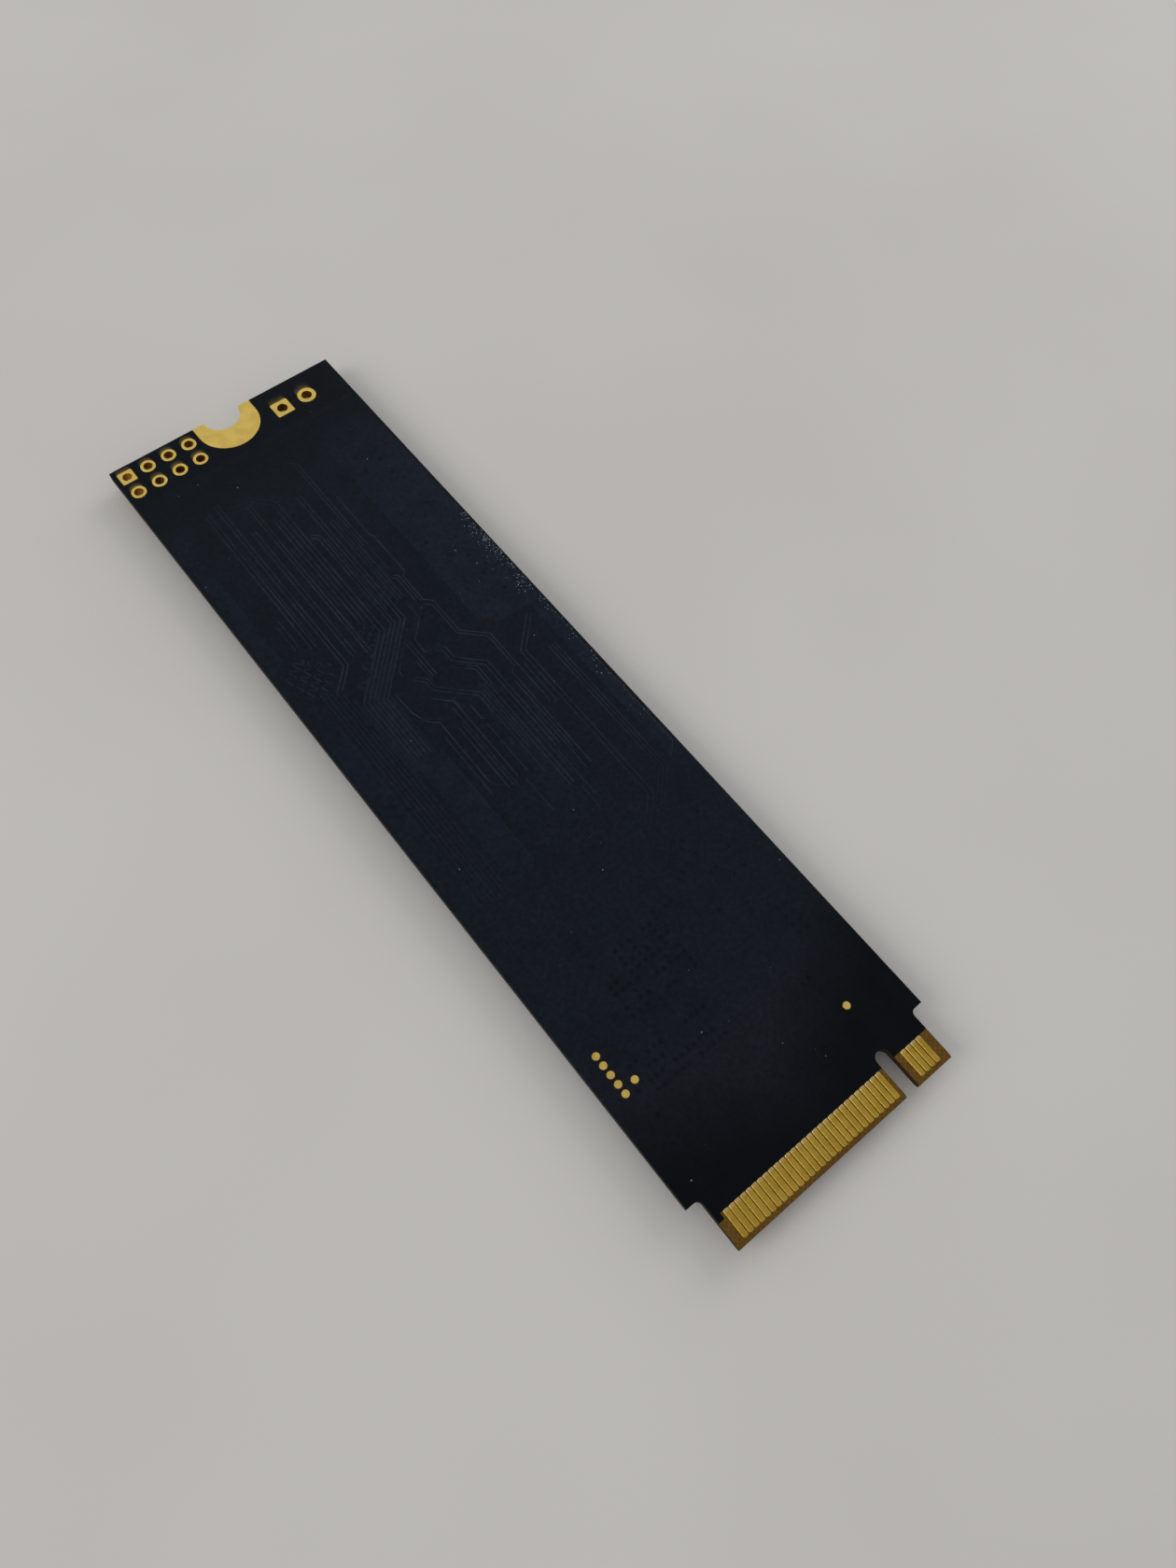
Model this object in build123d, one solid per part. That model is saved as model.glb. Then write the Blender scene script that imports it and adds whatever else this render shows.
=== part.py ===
from build123d import *
import os

# M.2 solid-state drive module, 22 by 80 mm with an M key, lying on its component face.
# Millimetres. +X towards the key slot, +Y towards the mounting notch, +Z out of the bare back face.
# The origin is on the plane that the module rests on, under the middle of the board.

# Small round lands, holes and marks have this many flats, which keeps their facets few
round_sides = 14

# Edge contacts: positions 1 to 75 step by half a pitch, odd on the component face and even on the back
contact_pitch = 0.50
contact_width = 0.35
contact_length = 2.15
contact_end_gap = 0.35
contact_thickness = 0.04
first_position = 1
last_position = 75
key_first_position = 59
key_last_position = 66

# Board outline
board_length = 80.0
board_thickness = 0.80
tongue_length = 4.0
tongue_side_margin = 0.675
shoulder_width = 1.075
shoulder_fillet = 0.40
key_slot_width = 1.20
key_slot_depth = 3.50
lead_in_length = 0.30
lead_in_depth = 0.12
notch_radius = 1.75
mounting_land_radius = 2.85
mounting_land_setback = 1.17

# Plated holes: a 2 by 4 header field beside the notch and a two-pin jumper on its other side
plating_thickness = 0.04
header_columns = 4
header_rows = 2
header_pitch = 2.00
header_hole_radius = 0.40
header_land_radius = 0.65
header_square_side = 1.35
header_end_offset = 1.22
jumper_pitch = 2.54
jumper_hole_radius = 0.47
jumper_land_radius = 0.83
jumper_square_side = 1.66
jumper_end_offset = 2.58
jumper_notch_gap = 1.10

# Test pads, measured from the shoulder and from the nearer long edge
test_pad_radius = 0.28
test_column_count = 5
test_column_pitch = 0.80
test_column_edge_offset = 1.60
test_column_start = 8.15
test_side_pad_shift = 1.10
test_side_pad_rise = 0.35
test_single_edge_offset = 4.33
test_single_start = 3.13

# Solder mask, and the copper that stands out under it
mask_thickness = 0.03
mask_clearance = 0.05
mask_tab_length = 0.45
trace_width = 0.12
trace_height = 0.04

# Corner points of single traces
single_routes = (
    ((3.1, 26.2), (3.1, 21.2), (3.3, 20.8), (3.3, 16.4), (2.9, 16.0), (2.9, 13.1), (3.5, 12.5), (3.5, 8.9),
     (5.3, 7.1), (5.3, -0.6), (4.9, -1.0)),
    ((2.6, 12.9), (3.2, 12.2), (3.2, 8.8), (5.0, 7.0), (5.0, 3.6), (4.5, 3.1), (4.5, -7.0)),
    ((1.6, 13.5), (1.6, 11.8), (0.1, 10.3), (0.1, 8.7)),
    ((-0.1, 11.2), (-2.2, 9.1), (-2.6, 8.6), (-2.6, 8.0)),
    ((-6.85, 8.6), (-6.85, -11.5)),
    ((-4.0, 7.0), (-3.9, 5.0), (-3.5, 3.7), (-2.7, 2.9), (-2.7, -3.5)),
    ((-1.9, 5.0), (-0.7, 3.8), (-0.7, -4.5)),
    ((0.1, 2.8), (0.1, 1.3), (0.5, 0.9)),
    ((4.2, 2.4), (4.2, -5.0)),
    ((0.2, -25.6), (0.9, -24.9), (6.6, -24.9), (7.1, -25.4)),
    ((2.1, -25.8), (2.5, -25.4), (5.6, -25.4)),
    ((-7.5, -25.2), (-4.2, -25.2)),
)

# Parallel traces: spacing between the lines and corner points of the line midway
pair_routes = (
    (0.38, ((-6.7, 31.0), (-6.7, 14.5))),
    (0.35, ((-5.6, 31.6), (-5.6, 11.7), (-7.4, 9.9), (-7.4, -11.5))),
    (0.36, ((-4.5, 27.2), (-4.5, 12.0))),
    (0.32, ((-3.4, 30.0), (-3.4, 11.6))),
    (0.38, ((-2.3, 27.0), (-2.3, 14.1))),
    (0.40, ((-2.9, 30.2), (-1.5, 28.8), (-1.5, 12.6), (-6.3, 7.8), (-6.3, 1.2))),
    (0.32, ((-0.9, 24.0), (-0.4, 23.5), (-0.4, 12.7), (-5.6, 7.5), (-5.6, 1.2))),
    (0.34, ((0.5, 28.2), (0.5, 12.6), (-4.9, 7.2), (-4.9, 1.2))),
    (0.30, ((0.8, 32.5), (2.2, 31.1), (2.2, 20.4))),
    (0.30, ((2.2, 16.5), (2.5, 16.2), (2.5, 13.1))),
    (0.32, ((-0.5, 10.4), (-0.5, 6.6))),
    (0.35, ((0.3, 8.6), (1.1, 8.6), (1.5, 8.2), (1.5, 7.0), (3.4, 5.1), (3.4, -4.2))),
    (0.30, ((1.0, 6.7), (2.5, 5.2), (2.5, 3.2))),
    (0.30, ((-2.0, 7.4), (-1.3, 6.6), (-1.3, 5.7), (1.3, 3.1), (1.3, 1.0))),
    (0.36, ((2.2, 2.0), (2.2, -7.5))),
    (0.40, ((-1.6, 1.6), (-1.6, -4.9))),
    (0.40, ((9.0, 6.8), (6.4, 4.2), (6.4, -11.8), (1.4, -16.8))),
)
triple_routes = (
    (0.35, ((-8.3, 10.6), (-8.3, -11.5))),
    (0.30, ((1.5, 24.3), (1.5, 14.2))),
    (0.30, ((8.6, 3.3), (8.6, -10.7), (3.0, -16.3))),
    (0.30, ((9.8, -11.4), (3.2, -18.0))),
)

# Corner points of the copper pours, which the mask follows as it does the traces
pours = (
    ((-10.7, 35.3), (10.7, 35.3), (10.7, -9.4), (9.5, -10.6), (9.5, 7.3), (9.3, 7.5), (6.7, 7.5), (5.2, 9.0),
     (5.2, 33.4), (-7.1, 33.4), (-9.35, 31.15), (-9.35, 15.2), (-10.5, 14.05), (-10.7, 14.05)),
    ((-10.7, 7.6), (-9.3, 7.6), (-9.05, 7.35), (-9.05, -19.5), (-9.65, -20.1), (-10.7, -20.1)),
    ((-6.3, 0.8), (-3.9, 0.8), (-3.9, -10.6), (-4.6, -11.3), (-6.3, -11.3)),
)

# Ball-grid packages: two flash memories and a controller in a column, all to one height
flash_width = 12.0
flash_length = 18.0
controller_side = 12.0
substrate_thickness = 0.20
mould_cap_thickness = 0.75
ball_standoff = 0.25
ball_radius = 0.22
ball_sides = 4
flash_ball_pitch = 1.00
controller_ball_pitch = 0.80
ball_edge_margin = 0.60
index_mark_radius = 0.50
index_mark_depth = 0.05
index_mark_inset = 1.20
package_edge_margin = 2.50
mounting_keepout = 1.50
connector_keepout = 2.50

# Power controller: flat no-lead package on a thermal pad and a frame of lands
power_side = 4.00
power_height = 0.80
power_land_count = 4
power_land_pitch = 0.65
power_land_width = 0.30
power_land_length = 0.50
power_land_height = 0.05
power_pad_side = 2.40

# Crystal: ceramic base with a seam-welded lid
crystal_length = 2.50
crystal_width = 2.00
crystal_base_height = 0.30
crystal_lid_height = 0.25
crystal_lid_inset = 0.12

# Two-terminal chips: length, width, height and terminal length
inductor_length, inductor_width, inductor_height, inductor_terminal = 2.50, 2.00, 1.00, 0.55
bulk_length, bulk_width, bulk_height, bulk_terminal = 1.60, 0.80, 0.80, 0.35
decoupler_length, decoupler_width, decoupler_height, decoupler_terminal = 1.00, 0.50, 0.50, 0.25
coupler_length, coupler_width, coupler_height, coupler_terminal = 0.60, 0.30, 0.30, 0.15
resistor_length, resistor_width, resistor_height, resistor_terminal = 1.00, 0.50, 0.35, 0.22
terminal_wrap = 0.02

# Spacing of the placed chips
part_gap = 0.80
part_edge_margin = 0.70
decoupler_pitch = 1.30
bulk_pitch = 1.60
resistor_pitch = 1.60
coupler_pitch = 1.00
inductor_pitch = 2.80
flash_decoupler_count = 6
flash_bulk_count = 3
gap_decoupler_count = 5
controller_resistor_count = 5
connector_resistor_count = 4
coupler_count = 8
inductor_count = 3

# Derived sizes and levels
position_step = contact_pitch / 2
middle_position = (first_position + last_position) / 2
tongue_width = (last_position - first_position) * position_step + 2 * tongue_side_margin
board_width = tongue_width + 2 * shoulder_width
half_width = board_width / 2
half_length = board_length / 2
shoulder_y = tongue_length - half_length
contact_bottom_y = contact_end_gap - half_length
mask_edge_y = contact_bottom_y + contact_length
key_slot_x = ((key_first_position + key_last_position) / 2 - middle_position) * position_step
mounting_land_y = half_length - mounting_land_setback
laminate_thickness = board_thickness - 2 * contact_thickness
seat_z = ball_standoff + substrate_thickness + mould_cap_thickness
front_z = seat_z + mask_thickness
back_z = front_z + laminate_thickness


notch = Pos(0, half_length) * Circle(notch_radius)


def board_outline():
    """Outline of the board with shoulders, tongue, key slot and the half-round end notch."""
    body = Pos(0, (half_length + shoulder_y) / 2) * Rectangle(board_width, half_length - shoulder_y)
    tongue = Pos(0, (shoulder_y - half_length) / 2) * Rectangle(tongue_width, tongue_length)
    outline = body + tongue
    corners = [v for v in outline.vertices() if abs(v.Y - shoulder_y) < shoulder_fillet
               and abs(v.X) < half_width - shoulder_width / 2]
    outline = fillet(corners, shoulder_fillet)
    slot_end = Pos(key_slot_x, key_slot_depth - key_slot_width / 2 - half_length)
    slot_depth = key_slot_depth - key_slot_width / 2
    slot = slot_end * Circle(key_slot_width / 2)
    slot += slot_end * Pos(0, -slot_depth / 2) * Rectangle(key_slot_width, slot_depth)
    return outline - slot - notch


def mounting_land(radius):
    """U-shaped land round the notch, open at the end of the board."""
    round_end = Pos(0, mounting_land_y) * Circle(radius)
    sides = Pos(0, (mounting_land_y + half_length) / 2) * Rectangle(2 * radius, mounting_land_setback)
    below_centre = Pos(0, mounting_land_y - radius / 2) * Rectangle(2 * radius, radius)
    return (round_end & below_centre) + sides


def layer(sketch, low, high):
    """Plate of the sketch's outline between two heights."""
    return extrude(Pos(0, 0, low) * sketch, high - low)


# Places of the plated holes and test pads: the first of each hole group has a square land
header_x = -(half_width + mounting_land_radius + (header_columns - 1) * header_pitch) / 2
header_y = half_length - header_end_offset
header_places = [(header_x + column * header_pitch, header_y - row * header_pitch)
                 for row in range(header_rows) for column in range(header_columns)]
jumper_x = mounting_land_radius + jumper_notch_gap + jumper_land_radius
jumper_y = half_length - jumper_end_offset
jumper_places = [(jumper_x, jumper_y), (jumper_x + jumper_pitch, jumper_y)]
test_column_x = test_column_edge_offset - half_width
test_column_y = shoulder_y + test_column_start
test_places = [(test_column_x, test_column_y + step * test_column_pitch)
               for step in range(test_column_count)]
test_places.append((test_column_x + test_side_pad_shift, test_column_y + test_side_pad_rise))
test_places.append((half_width - test_single_edge_offset, shoulder_y + test_single_start))


def disc(place, radius):
    """Small round outline at a place."""
    return Pos(*place) * RegularPolygon(radius, round_sides)


def lands(places, radius, square_side, grow):
    """Lands at the given places, the first one square, grown by the given margin."""
    square = Pos(*places[0]) * Rectangle(square_side + 2 * grow, square_side + 2 * grow)
    return [square] + [disc(place, radius + grow) for place in places[1:]]


def sleeves(places, hole_radius, land_radius, square_side):
    """Plated holes: a land on each face joined by a barrel through the laminate."""
    made = []
    for place, land in zip(places, lands(places, land_radius, square_side, 0)):
        bore = disc(place, hole_radius)
        barrel = disc(place, hole_radius + plating_thickness) - bore
        sleeve = layer(barrel, front_z, back_z)
        sleeve += layer(land - bore, front_z - contact_thickness, front_z)
        sleeve += layer(land - bore, back_z, back_z + contact_thickness)
        made.append(sleeve)
    return made


def parallel(points, offset):
    """The polyline moved sideways by an offset, with mitred corners."""
    runs = [(end - start).normalized() for start, end in zip(points, points[1:])]
    normals = [Vector(-run.Y, run.X) for run in runs]
    before = normals[:1] + normals
    after = normals + normals[-1:]
    return [point + (a + b) * (offset / (1 + a.dot(b))) for point, a, b in zip(points, before, after)]


def strips(points, lines, spacing):
    """Strips of the trace width along each of the parallel lines of one route."""
    route = [Vector(x, y) for x, y in points]
    made = []
    for line in range(lines):
        middle = parallel(route, (line - (lines - 1) / 2) * spacing)
        edge = parallel(middle, trace_width / 2) + parallel(middle, -trace_width / 2)[::-1]
        made.append(make_face(Polyline(*edge, close=True)))
    return made


# Laminate
drilled = [disc(place, header_hole_radius + plating_thickness) for place in header_places]
drilled += [disc(place, jumper_hole_radius + plating_thickness) for place in jumper_places]
laminate = layer(board_outline() - drilled, front_z, back_z)
for face_z, inwards in ((back_z, -1), (front_z, 1)):
    slope = Polyline((-half_length, face_z), (lead_in_length - half_length, face_z),
                     (-half_length, face_z + inwards * lead_in_depth), close=True)
    laminate -= extrude(Plane.YZ * make_face(slope), half_width, both=True)

# Solder mask: it stops above the contacts, on the back runs on beside the first, and leaves the lands open
mask_region = Pos(0, (mask_edge_y + half_length) / 2) * Rectangle(board_width, half_length - mask_edge_y)
mask_tab_width = tongue_side_margin - contact_width / 2
mask_tab = Rectangle(mask_tab_width, mask_tab_length)
mask_tab = Pos((mask_tab_width - tongue_width) / 2, mask_edge_y - mask_tab_length / 2) * mask_tab
hole_openings = lands(header_places, header_land_radius, header_square_side, mask_clearance)
hole_openings += lands(jumper_places, jumper_land_radius, jumper_square_side, mask_clearance)
hole_openings.append(mounting_land(mounting_land_radius + mask_clearance))
mask_front_sketch = (board_outline() & mask_region) - hole_openings
mask_back_sketch = mask_front_sketch + mask_tab
mask_back_sketch -= [disc(place, test_pad_radius + mask_clearance) for place in test_places]
mask_front = layer(mask_front_sketch, seat_z, front_z)
mask_back = layer(mask_back_sketch, back_z, back_z + mask_thickness)
copper = [make_face(Polyline(*corners, close=True)) for corners in pours]
for points in single_routes:
    copper += strips(points, 1, 0)
for lines, routes in ((2, pair_routes), (3, triple_routes)):
    for spacing, points in routes:
        copper += strips(points, lines, spacing)
ridges = [layer(sketch & mask_back_sketch, back_z + mask_thickness, back_z + mask_thickness + trace_height)
          for sketch in copper]
mask_back = mask_back.fuse(*ridges)

# Gold contacts
contact = Rectangle(contact_width, contact_length)
contact_y = contact_bottom_y + contact_length / 2
contacts_front = []
contacts_back = []
for position in range(first_position, last_position + 1):
    if key_first_position <= position <= key_last_position:
        continue
    place = Pos((position - middle_position) * position_step, contact_y)
    if position % 2:
        contacts_front.append(layer(place * contact, front_z - contact_thickness, front_z))
    else:
        contacts_back.append(layer(place * contact, back_z, back_z + contact_thickness))

# Mounting ring: a land round the notch on each face, for the screw's head and the standoff
ring_land = mounting_land(mounting_land_radius) - notch
mounting_ring = [layer(ring_land, front_z - contact_thickness, front_z)]
mounting_ring.append(layer(ring_land, back_z, back_z + contact_thickness))

header_sleeves = sleeves(header_places, header_hole_radius, header_land_radius, header_square_side)
jumper_sleeves = sleeves(jumper_places, jumper_hole_radius, jumper_land_radius, jumper_square_side)
test_pads = [layer(disc(place, test_pad_radius), back_z, back_z + contact_thickness)
             for place in test_places]

# Column of packages: the length that they leave free is shared out evenly between them
column_top = mounting_land_y - mounting_land_radius - mounting_keepout
column_bottom = shoulder_y + connector_keepout
package_gap = (column_top - column_bottom - 2 * flash_length - controller_side) / 4
package_x = package_edge_margin + flash_width / 2 - half_width
flash_1_y = column_top - package_gap - flash_length / 2
flash_2_y = flash_1_y - flash_length - package_gap
controller_y = flash_2_y - (flash_length + controller_side) / 2 - package_gap


def slab(width, length, low, high):
    return layer(Rectangle(width, length), low, high)


def package(width, length, y, ball_pitch):
    """Substrate, mould cap with its index mark, and the solder balls that show along the two long sides."""
    place = Pos(package_x, y)
    substrate_low = seat_z - ball_standoff - substrate_thickness
    substrate = place * slab(width, length, substrate_low, seat_z - ball_standoff)
    mark = disc((width / 2 - index_mark_inset, length / 2 - index_mark_inset), index_mark_radius)
    cap = slab(width, length, 0, substrate_low) - layer(mark, 0, index_mark_depth)
    ball = layer(RegularPolygon(ball_radius, ball_sides), seat_z - ball_standoff, seat_z)
    rows = int((length - 2 * ball_edge_margin) / ball_pitch) + 1
    balls = []
    for side in (-1, 1):
        for row in range(rows):
            ball_place = (side * (width / 2 - ball_edge_margin), (row - (rows - 1) / 2) * ball_pitch)
            balls.append(place * Pos(*ball_place) * ball)
    return [substrate], [place * cap], balls


def chip_body(length, width, height, terminal):
    """Middle of a two-terminal chip, lying along X and hanging from the mask."""
    body_low = seat_z - height + terminal_wrap
    return slab(length - 2 * terminal, width - 2 * terminal_wrap, body_low, seat_z - terminal_wrap)


def chip_terminals(length, width, height, terminal):
    """End caps of a two-terminal chip, soldered face to face with the board."""
    end = slab(terminal, width, seat_z - height, seat_z)
    return [Pos(side * (length - terminal) / 2, 0) * end for side in (-1, 1)]


def line_of(count, pitch, middle, along):
    """Places at one pitch about a middle point, along X or along Y."""
    offsets = [(index - (count - 1) / 2) * pitch for index in range(count)]
    return [Pos(middle[0] + offset * along[0], middle[1] + offset * along[1]) for offset in offsets]


def chips(places, sizes):
    """Bodies and terminals of like chips at the given places."""
    bodies = [place * chip_body(*sizes) for place in places]
    ends = [place * end for place in places for end in chip_terminals(*sizes)]
    return bodies, ends


along_x = (1, 0)
along_y = (0, 1)
quarter_turn = Rot(0, 0, 90)

# Strip beside the packages, and the rows between them
strip_left = package_x + flash_width / 2 + part_gap
strip_right = half_width - part_edge_margin
strip_x = (strip_left + strip_right) / 2
gap_1_y = flash_1_y - (flash_length + package_gap) / 2
gap_2_y = flash_2_y - (flash_length + package_gap) / 2
gap_3_y = controller_y - (controller_side + package_gap) / 2

decoupler_places = []
bulk_places = []
for flash_y in (flash_1_y, flash_2_y):
    inner = (strip_left + decoupler_length / 2, flash_y)
    outer = (strip_right - bulk_length / 2, flash_y)
    decoupler_places += line_of(flash_decoupler_count, decoupler_pitch, inner, along_y)
    bulk_places += line_of(flash_bulk_count, bulk_pitch, outer, along_y)
for gap_y in (gap_1_y, gap_2_y):
    turned = line_of(gap_decoupler_count, decoupler_pitch, (package_x, gap_y), along_x)
    decoupler_places += [place * quarter_turn for place in turned]

resistor_x = package_x - (controller_side + resistor_width) / 2 - part_gap
resistor_places = [place * quarter_turn for place in
                   line_of(controller_resistor_count, resistor_pitch, (resistor_x, controller_y), along_y)]
resistor_places += line_of(connector_resistor_count, resistor_pitch, (strip_x, gap_3_y), along_x)
coupler_places = [place * quarter_turn for place in
                  line_of(coupler_count, coupler_pitch, (package_x, gap_3_y), along_x)]

# Power parts beside the controller: power controller first, then its inductors towards the connector
power_y = gap_2_y - power_side / 2
inductor_first_y = power_y - (power_side + inductor_width) / 2 - part_gap
inductor_middle_y = inductor_first_y - (inductor_count - 1) * inductor_pitch / 2
inductor_places = line_of(inductor_count, inductor_pitch, (strip_x, inductor_middle_y), along_y)
power_place = Pos(strip_x, power_y)
power_body = power_place * slab(power_side, power_side, seat_z - power_height, seat_z - power_land_height)
power_land_low = seat_z - power_land_height
power_land = slab(power_land_length, power_land_width, power_land_low, seat_z)
power_lands = [power_place * slab(power_pad_side, power_pad_side, power_land_low, seat_z)]
for quarter in range(4):
    side_middle = ((power_side - power_land_length) / 2, 0)
    for place in line_of(power_land_count, power_land_pitch, side_middle, along_y):
        power_lands.append(power_place * Rot(0, 0, 90 * quarter) * place * power_land)

# Crystal above the resistors at the controller's corner
crystal_place = Pos(package_x - flash_width / 2 + crystal_length / 2 - part_gap, gap_2_y)
crystal_base_low = seat_z - crystal_base_height
crystal_base = crystal_place * slab(crystal_length, crystal_width, crystal_base_low, seat_z)
crystal_lid = slab(crystal_length - 2 * crystal_lid_inset, crystal_width - 2 * crystal_lid_inset,
                   crystal_base_low - crystal_lid_height, crystal_base_low)
crystal_lid = crystal_place * crystal_lid

flash_1 = package(flash_width, flash_length, flash_1_y, flash_ball_pitch)
flash_2 = package(flash_width, flash_length, flash_2_y, flash_ball_pitch)
controller = package(controller_side, controller_side, controller_y, controller_ball_pitch)
inductors = chips(inductor_places, (inductor_length, inductor_width, inductor_height, inductor_terminal))
bulk_capacitors = chips(bulk_places, (bulk_length, bulk_width, bulk_height, bulk_terminal))
decouplers = chips(decoupler_places,
                   (decoupler_length, decoupler_width, decoupler_height, decoupler_terminal))
couplers = chips(coupler_places, (coupler_length, coupler_width, coupler_height, coupler_terminal))
resistors = chips(resistor_places, (resistor_length, resistor_width, resistor_height, resistor_terminal))

nodes = {
    "laminate": [laminate],
    "solder_mask_back": [mask_back],
    "solder_mask_front": [mask_front],
    "edge_contacts_back": contacts_back,
    "edge_contacts_front": contacts_front,
    "mounting_ring": mounting_ring,
    "header_sleeves": header_sleeves,
    "jumper_sleeves": jumper_sleeves,
    "test_pads": test_pads,
    "power_controller_body": [power_body],
    "power_controller_lands": power_lands,
    "crystal_base": [crystal_base],
    "crystal_lid": [crystal_lid],
}
for name, pieces in (("flash_1", flash_1), ("flash_2", flash_2), ("controller", controller)):
    for piece, solids in zip(("substrate", "mould_cap", "solder_balls"), pieces):
        nodes[name + "_" + piece] = solids
for name, pieces in (("inductor", inductors), ("bulk_capacitor", bulk_capacitors),
                     ("decoupling_capacitor", decouplers), ("coupling_capacitor", couplers),
                     ("resistor", resistors)):
    for piece, solids in zip(("bodies", "terminals"), pieces):
        nodes[name + "_" + piece] = solids

os.makedirs("parts", exist_ok=True)
for name, shapes in nodes.items():
    solids = [solid for shape in shapes for solid in shape.solids()]
    export_step(solids[0] if len(solids) == 1 else Compound(children=solids), f"parts/{name}.step")
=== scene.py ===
import math
import random

import bmesh
import bpy
from mathutils import Euler, Matrix, Vector
from mathutils.bvhtree import BVHTree


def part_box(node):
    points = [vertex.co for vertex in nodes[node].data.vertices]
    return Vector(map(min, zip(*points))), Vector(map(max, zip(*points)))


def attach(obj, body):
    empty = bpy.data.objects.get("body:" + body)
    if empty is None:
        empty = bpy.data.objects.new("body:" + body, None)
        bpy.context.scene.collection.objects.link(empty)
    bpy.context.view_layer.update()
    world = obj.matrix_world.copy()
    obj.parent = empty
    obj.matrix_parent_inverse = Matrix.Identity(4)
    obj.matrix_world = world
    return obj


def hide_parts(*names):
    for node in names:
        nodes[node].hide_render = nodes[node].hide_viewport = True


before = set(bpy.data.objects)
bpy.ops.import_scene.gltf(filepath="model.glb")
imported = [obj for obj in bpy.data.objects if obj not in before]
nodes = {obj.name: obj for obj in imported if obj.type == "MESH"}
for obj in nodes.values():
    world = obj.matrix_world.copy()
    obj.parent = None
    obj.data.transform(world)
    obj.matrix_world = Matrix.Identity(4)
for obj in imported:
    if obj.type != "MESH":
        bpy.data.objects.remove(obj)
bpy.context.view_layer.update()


# Laminate: woven glass cloth set in epoxy and pressed into a thin sheet.
# It is routed to its outline, and shows bare round the contacts, in the key slot and along its cut edge.
# The scales of grain, here and in the later materials, count features per metre.
mm = 0.001
yarn_pitch = 0.42 * mm
yarn_wander = 3.0
ply_pitch = 0.11 * mm
wander_scale = 900.0
resin_scale = 2600.0
torn_scale = 9000.0
epoxy_colour = (0.092, 0.044, 0.004, 1)
glass_colour = (0.152, 0.082, 0.011, 1)
cut_edge_colour = (0.026, 0.018, 0.009, 1)
face_roughness = 0.48
cut_edge_roughness = 0.72
laminate_specular = 0.12
weave_relief = 0.004 * mm


def add(tree, kind, inputs=None, **settings):
    """New shader node with its settings, and its inputs linked to sockets or set to plain values."""
    made = tree.nodes.new("ShaderNode" + kind)
    for name, value in settings.items():
        setattr(made, name, value)
    for key, value in (inputs or {}).items():
        if isinstance(value, bpy.types.NodeSocket):
            tree.links.new(value, made.inputs[key])
        else:
            made.inputs[key].default_value = value
    return made.outputs


def maths(tree, operation, first, second=0.0):
    return add(tree, "Math", {0: first, 1: second}, operation=operation)[0]


def ranged(tree, value, low, high, to_low=0.0, to_high=1.0):
    """A value moved smoothly from one range to another, and held at the ends."""
    limits = {"Value": value, "From Min": low, "From Max": high, "To Min": to_low, "To Max": to_high}
    return add(tree, "MapRange", limits, interpolation_type="SMOOTHSTEP")[0]


def mixed(tree, share, first, second, blend="MIX"):
    return add(tree, "Mix", {0: share, 6: first, 7: second}, data_type="RGBA", blend_type=blend)[2]


def shaded(tree, colour, factor):
    """A colour made darker or lighter by a factor."""
    grey = add(tree, "CombineColor", {0: factor, 1: factor, 2: factor})[0]
    return mixed(tree, 1.0, colour, grey, "MULTIPLY")


def grain(tree, place, scale, detail=3.0, rough=0.55):
    return add(tree, "TexNoise", {"Vector": place, "Scale": scale, "Detail": detail, "Roughness": rough})[0]


def new_group(name, output, vector, *values):
    """Empty node group for an effect with one output, and the sockets that bring in its vector and values."""
    group = bpy.data.node_groups.new(name, "ShaderNodeTree")
    group.interface.new_socket(output, in_out="OUTPUT", socket_type="NodeSocketFloat")
    group.interface.new_socket(vector, in_out="INPUT", socket_type="NodeSocketVector")
    for value in values:
        group.interface.new_socket(value, in_out="INPUT", socket_type="NodeSocketFloat")
    return group, group.nodes.new("NodeGroupInput").outputs


def finish_group(group, result):
    group.links.new(result, group.nodes.new("NodeGroupOutput").inputs[0])


mottling, given = new_group("mottling", "Patches", "Vector", "Scale", "Detail", "Roughness", "Low", "High")
noise = grain(mottling, given["Vector"], given["Scale"], given["Detail"], given["Roughness"])
finish_group(mottling, ranged(mottling, noise, 0.3, 0.7, given["Low"], given["High"]))

levelling, given = new_group("levelling", "Levelness", "Normal")
lean = add(levelling, "SeparateXYZ", {0: given["Normal"]})[2]
finish_group(levelling, maths(levelling, "ABSOLUTE", lean))


def mottled(tree, place, scale, detail=3.0, rough=0.55, low=0.0, high=1.0):
    """Grain stretched over a whole range, so that it makes clear patches."""
    values = {"Vector": place, "Scale": scale, "Detail": detail, "Roughness": rough, "Low": low, "High": high}
    return add(tree, "Group", values, node_tree=mottling)[0]


def levelness(tree, coordinates):
    """One where the surface lies level, and nothing where it stands upright."""
    return add(tree, "Group", {"Normal": coordinates["Normal"]}, node_tree=levelling)[0]


def waves(tree, along, pitch, shift=0.0):
    """Even waves along a coordinate."""
    turns = maths(tree, "MULTIPLY", along, 2 * math.pi / pitch)
    return maths(tree, "SINE", maths(tree, "ADD", turns, shift))


def surface(tree, shader, colour, roughness):
    tree.links.new(colour, shader.inputs["Base Color"])
    tree.links.new(roughness, shader.inputs["Roughness"])


def bumped(tree, shader, height, distance):
    relief = add(tree, "Bump", {"Height": height, "Distance": distance})
    tree.links.new(relief["Normal"], shader.inputs["Normal"])


def new_material(name):
    """Empty material, with its shader and its object coordinates."""
    material = bpy.data.materials.new(name)
    material.use_nodes = True
    tree = material.node_tree
    return material, tree, tree.nodes["Principled BSDF"], add(tree, "TexCoord")


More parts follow.
